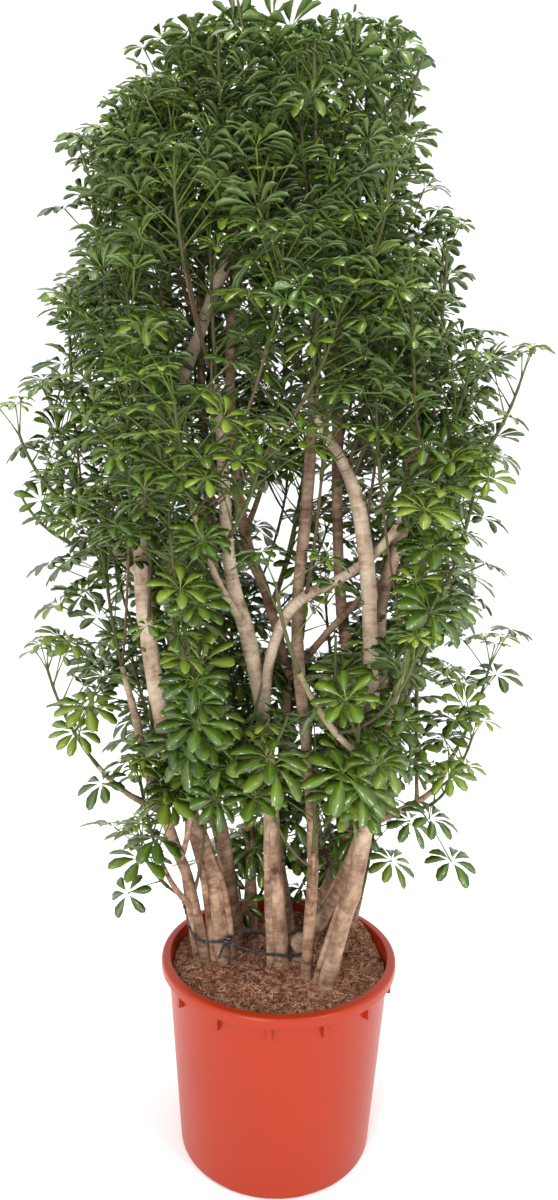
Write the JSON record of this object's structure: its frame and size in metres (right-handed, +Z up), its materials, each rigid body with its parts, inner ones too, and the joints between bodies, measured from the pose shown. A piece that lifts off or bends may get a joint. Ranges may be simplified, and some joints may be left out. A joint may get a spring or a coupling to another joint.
{
  "type": "potted umbrella plant",
  "caption": "Tall many-stemmed umbrella plant with whorled leaflets, standing in coir soil in a round plastic nursery pot.",
  "frame": {"origin": "centre of the pot's flat underside", "axes": "+Z up along the pot's axis, -Y towards the front that the picture shows, +X to its right"},
  "size_m": [0.8841, 0.7265, 1.8297],
  "materials": {
    "pot_plastic": "moulded polypropylene, satin, terracotta orange",
    "soil": "loose fibrous coir and peat, matt",
    "bark": "ringed bark with leaf scars, matt",
    "tie": "black plastic band, satin",
    "foliage": "glossy green leaflets on pale green stalks"
  },
  "bodies": {
    "root": {"pot": "pot_plastic", "stem_left_outer": "bark", "stem_left": "bark", "stem_left_rear": "bark", "stem_rear_left": "bark", "stem_front_left": "bark", "stem_rear_leader": "bark", "stem_centre": "bark", "stem_front_right": "bark", "stem_right_rear": "bark", "stem_rear_right": "bark", "sprout_stem": "bark", "root_stump": "bark", "soil": "soil", "stem_tie": "tie", "leafy_shoot_01": "foliage", "leafy_shoot_02": "foliage", "leafy_shoot_03": "foliage", "leafy_shoot_04": "foliage", "leafy_shoot_05": "foliage", "leafy_shoot_06": "foliage", "leafy_shoot_07": "foliage", "leafy_shoot_08": "foliage", "leafy_shoot_09": "foliage", "leafy_shoot_10": "foliage", "leafy_shoot_11": "foliage", "leafy_shoot_12": "foliage", "leafy_shoot_13": "foliage", "leafy_shoot_14": "foliage", "leafy_shoot_15": "foliage", "leafy_shoot_16": "foliage", "leafy_shoot_17": "foliage", "leafy_shoot_18": "foliage", "leafy_shoot_19": "foliage", "leafy_shoot_20": "foliage", "leafy_shoot_21": "foliage", "leafy_shoot_22": "foliage", "leafy_shoot_23": "foliage", "leafy_shoot_24": "foliage", "leafy_shoot_25": "foliage", "leafy_shoot_26": "foliage", "leafy_shoot_27": "foliage", "leafy_shoot_28": "foliage", "leafy_shoot_29": "foliage", "leafy_shoot_30": "foliage", "leafy_shoot_31": "foliage", "leafy_shoot_32": "foliage", "leafy_shoot_33": "foliage", "leafy_shoot_34": "foliage", "leafy_shoot_35": "foliage", "leafy_shoot_36": "foliage", "leafy_shoot_37": "foliage", "leafy_shoot_38": "foliage"}
  },
  "joints": []
}
